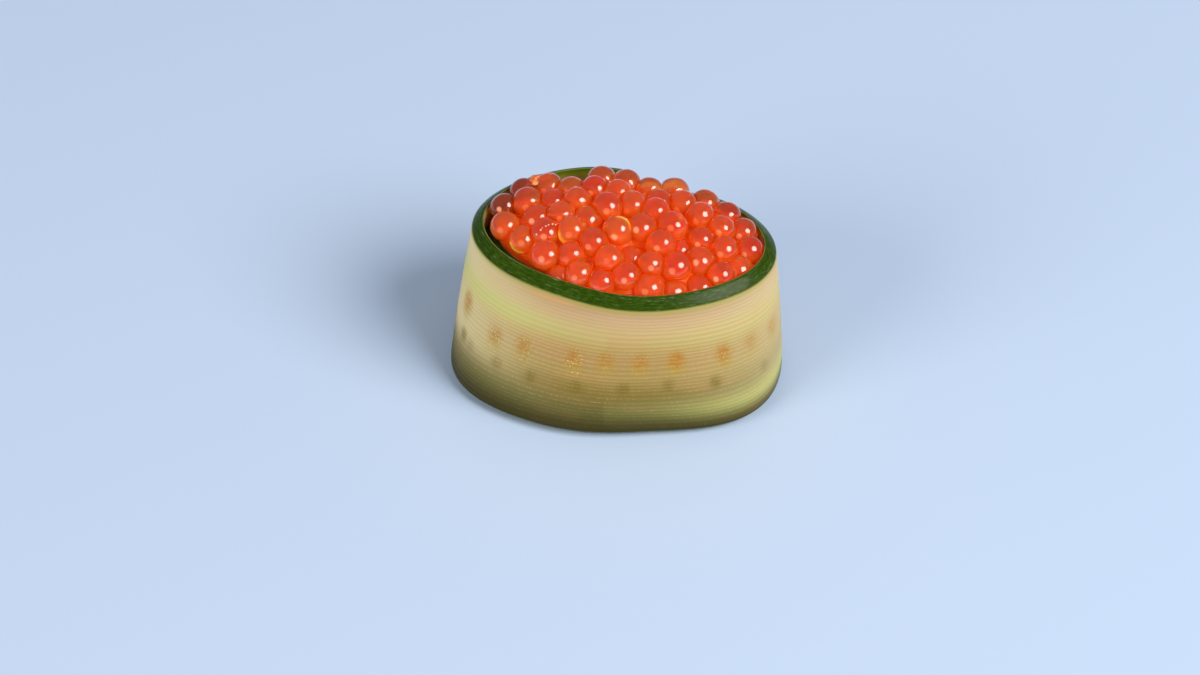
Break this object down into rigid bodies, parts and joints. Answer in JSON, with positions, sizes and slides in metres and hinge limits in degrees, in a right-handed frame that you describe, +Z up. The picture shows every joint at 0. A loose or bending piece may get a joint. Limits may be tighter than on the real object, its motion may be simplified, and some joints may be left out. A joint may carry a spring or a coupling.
{
  "type": "salmon roe gunkan nigiri in a cucumber ribbon",
  "caption": "Oval piece of sushi: pressed rice wrapped in a lengthwise cucumber ribbon with green skin edges, filled and heaped with salmon roe.",
  "frame": {"origin": "middle of the outline's box, on the surface it stands on", "axes": "+Z up, +X along the long axis of the oval, -Y towards the side that the picture shows"},
  "size_m": [0.0614, 0.0426, 0.0392],
  "materials": {
    "cucumber": "moist cut cucumber flesh with fine slicing ribs, dark green skin along both long edges",
    "cooked_rice": "moist cooked short-grain rice, slightly translucent",
    "salmon_roe": "wet glossy translucent orange-red eggs"
  },
  "bodies": {
    "root": {"cucumber_wrap": "cucumber", "rice": "cooked_rice", "roe": "salmon_roe"}
  },
  "joints": []
}
